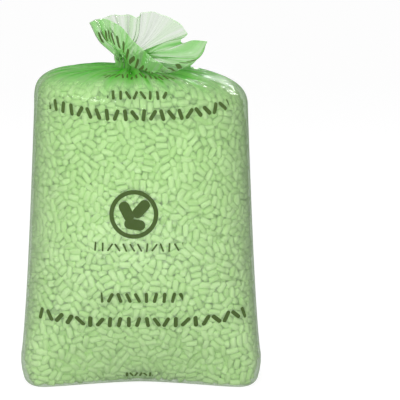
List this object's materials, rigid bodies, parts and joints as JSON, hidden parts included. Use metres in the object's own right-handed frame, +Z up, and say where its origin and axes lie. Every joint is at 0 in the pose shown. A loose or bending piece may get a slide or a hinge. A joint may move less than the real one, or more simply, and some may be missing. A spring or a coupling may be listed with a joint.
{
  "type": "bag of packing peanuts",
  "caption": "Tall see-through green film bag, gathered at the neck with a spread frill, full of loose-fill foam packing chips.",
  "frame": {"origin": "middle of the flat foot that the bag stands on", "axes": "+Z up to the neck and frill, +X to the right seen from the printed front, +Y to the back"},
  "size_m": [0.782, 0.5032, 1.1894],
  "materials": {
    "film": "clear green polythene film, thin and glossy, whitish where it stands off the chips",
    "foam": "pale green foamed starch, matt, with a finely cellular skin"
  },
  "bodies": {
    "root": {"film_bag": "film", "peanut_fill": "foam", "peanut_01": "foam", "peanut_02": "foam", "peanut_03": "foam", "peanut_04": "foam", "peanut_05": "foam", "peanut_06": "foam", "peanut_07": "foam", "peanut_08": "foam", "peanut_09": "foam", "peanut_10": "foam", "peanut_11": "foam", "peanut_12": "foam", "peanut_13": "foam", "peanut_14": "foam", "peanut_15": "foam", "peanut_16": "foam", "peanut_17": "foam", "peanut_18": "foam", "peanut_19": "foam", "peanut_20": "foam", "peanut_21": "foam", "peanut_22": "foam", "peanut_23": "foam", "peanut_24": "foam", "peanut_25": "foam", "peanut_26": "foam", "peanut_27": "foam", "peanut_28": "foam", "peanut_29": "foam", "peanut_30": "foam", "peanut_31": "foam", "peanut_32": "foam", "peanut_33": "foam", "peanut_34": "foam", "peanut_35": "foam", "peanut_36": "foam", "peanut_37": "foam", "peanut_38": "foam", "peanut_39": "foam", "peanut_40": "foam", "peanut_41": "foam", "peanut_42": "foam", "peanut_43": "foam", "peanut_44": "foam", "peanut_45": "foam", "peanut_46": "foam", "peanut_47": "foam", "peanut_48": "foam", "peanut_49": "foam", "peanut_50": "foam", "peanut_51": "foam", "peanut_52": "foam", "peanut_53": "foam", "peanut_54": "foam", "peanut_55": "foam", "peanut_56": "foam"}
  },
  "joints": []
}
